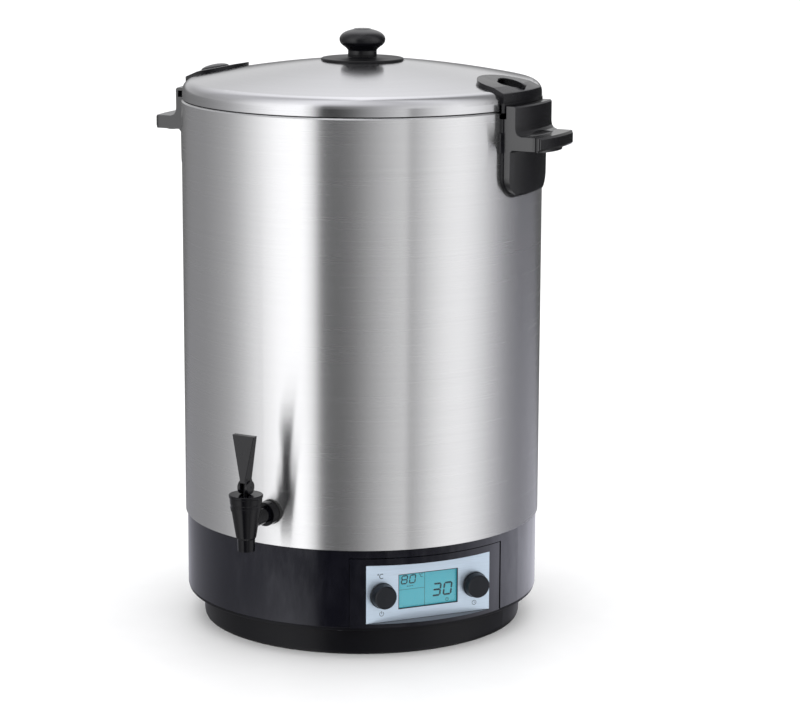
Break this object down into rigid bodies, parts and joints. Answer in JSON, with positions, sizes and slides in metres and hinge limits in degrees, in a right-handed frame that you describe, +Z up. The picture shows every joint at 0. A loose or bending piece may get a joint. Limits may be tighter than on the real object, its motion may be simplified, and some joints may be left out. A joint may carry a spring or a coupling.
{
  "type": "water bath canner",
  "caption": "Tall round electric water bath canner: steel kettle on a black control base, drain tap, two side handles, domed lid with knob.",
  "frame": {"origin": "centre of the resting plane under the foot gasket", "axes": "+Z up along the kettle's axis; the drain tap points to -Y, the handles lie along X, the control panel faces between -Y and +X"},
  "size_m": [0.423, 0.4129, 0.5796],
  "materials": {
    "brushed_stainless": "brushed",
    "satin_stainless": "satin",
    "plated_steel": "satin",
    "gloss_black_plastic": "gloss",
    "satin_black_plastic": "satin",
    "black_rubber": "matte",
    "silicone": "satin",
    "brushed_aluminium": "brushed",
    "clear_window": "gloss",
    "display_green": "gloss",
    "circuit_board": "satin",
    "brass": "satin",
    "lead_insulation": "satin"
  },
  "bodies": {
    "canner": {"base_shell": "gloss_black_plastic", "board_screws": "plated_steel", "bottom_plate": "plated_steel", "bottom_screws": "plated_steel", "case_screws": "plated_steel", "control_board": "circuit_board", "control_plate": "brushed_aluminium", "cutout_clamp": "plated_steel", "display_module": "display_green", "display_window": "clear_window", "foot_gasket": "black_rubber", "foot_ring": "gloss_black_plastic", "handle_inserts": "brass", "handle_screws": "satin_stainless", "handle_washers": "satin_stainless", "heat_spreader": "brushed_aluminium", "heater_leads": "lead_insulation", "heating_element": "plated_steel", "inlet_pins": "brass", "inlet_screws": "plated_steel", "left_handle": "satin_black_plastic", "left_handle_spacer": "satin_black_plastic", "mains_inlet": "satin_black_plastic", "panel_bezel": "gloss_black_plastic", "pot_floor": "brushed_stainless", "pot_wall": "brushed_stainless", "power_board": "circuit_board", "right_handle": "satin_black_plastic", "right_handle_spacer": "satin_black_plastic", "tap_body": "satin_black_plastic", "tap_bonnet": "satin_black_plastic", "tap_inner_gasket": "black_rubber", "tap_nut": "satin_black_plastic", "tap_outer_gasket": "black_rubber", "tap_spring": "plated_steel", "temperature_encoder": "satin_black_plastic", "temperature_probe": "plated_steel", "thermal_cutout": "plated_steel", "timer_encoder": "satin_black_plastic"},
    "lid": {"lid_pan": "satin_stainless", "lid_gasket": "black_rubber", "knob_flange": "satin_black_plastic", "lid_knob": "satin_black_plastic", "knob_insert": "brass", "knob_washer": "satin_stainless", "knob_screw": "satin_stainless", "right_lid_lug": "satin_black_plastic", "left_lid_lug": "satin_black_plastic", "lug_rivets": "brushed_aluminium"},
    "rack": {"wire_rack": "satin_stainless"},
    "tap_stem": {"tap_stem": "satin_stainless", "seat_cup": "silicone"},
    "tap_lever": {"tap_lever": "satin_black_plastic", "lever_pin": "satin_stainless"},
    "temperature_push": {"temperature_plunger": "satin_black_plastic"},
    "temperature_turn": {"temperature_shaft": "satin_black_plastic", "temperature_knob": "satin_black_plastic"},
    "timer_push": {"timer_plunger": "satin_black_plastic"},
    "timer_turn": {"timer_shaft": "satin_black_plastic", "timer_knob": "satin_black_plastic"}
  },
  "joints": [
    {"name": "lid_lift", "type": "slide", "parent": "canner", "child": "lid", "axis": [0, 0, 1], "range_m": [0, 0.25]},
    {"name": "rack_lift", "type": "slide", "parent": "canner", "child": "rack", "axis": [0, 0, 1], "range_m": [0, 0.35]},
    {"name": "tap_stem_lift", "type": "slide", "parent": "canner", "child": "tap_stem", "axis": [0, 0, 1], "range_m": [0, 0.00305], "deforming": ["tap_spring"]},
    {"name": "tap_lever_turn", "type": "hinge", "parent": "tap_stem", "child": "tap_lever", "pos_m": [0, -0.22, 0.1726], "axis": [1, 0, 0], "range_deg": [0, 70]},
    {"name": "temperature_press", "type": "slide", "parent": "canner", "child": "temperature_push", "axis": [-0.7923, 0.6101, 0], "range_m": [0, 0.0008], "stiffness_N_per_m": 800},
    {"name": "temperature_spin", "type": "hinge", "parent": "temperature_push", "child": "temperature_turn", "pos_m": [0.0973, -0.13588, 0.061], "axis": [0.7923, -0.6101, 0], "continuous": true},
    {"name": "timer_press", "type": "slide", "parent": "canner", "child": "timer_push", "axis": [-0.7923, 0.6101, 0], "range_m": [0, 0.0008], "stiffness_N_per_m": 800},
    {"name": "timer_spin", "type": "hinge", "parent": "timer_push", "child": "timer_turn", "pos_m": [0.15624, -0.05935, 0.061], "axis": [0.7923, -0.6101, 0], "continuous": true}
  ],
  "couplings": [
    {"joint": "tap_lever_turn", "follows": "tap_stem_lift", "rad_per_m": 400}
  ]
}
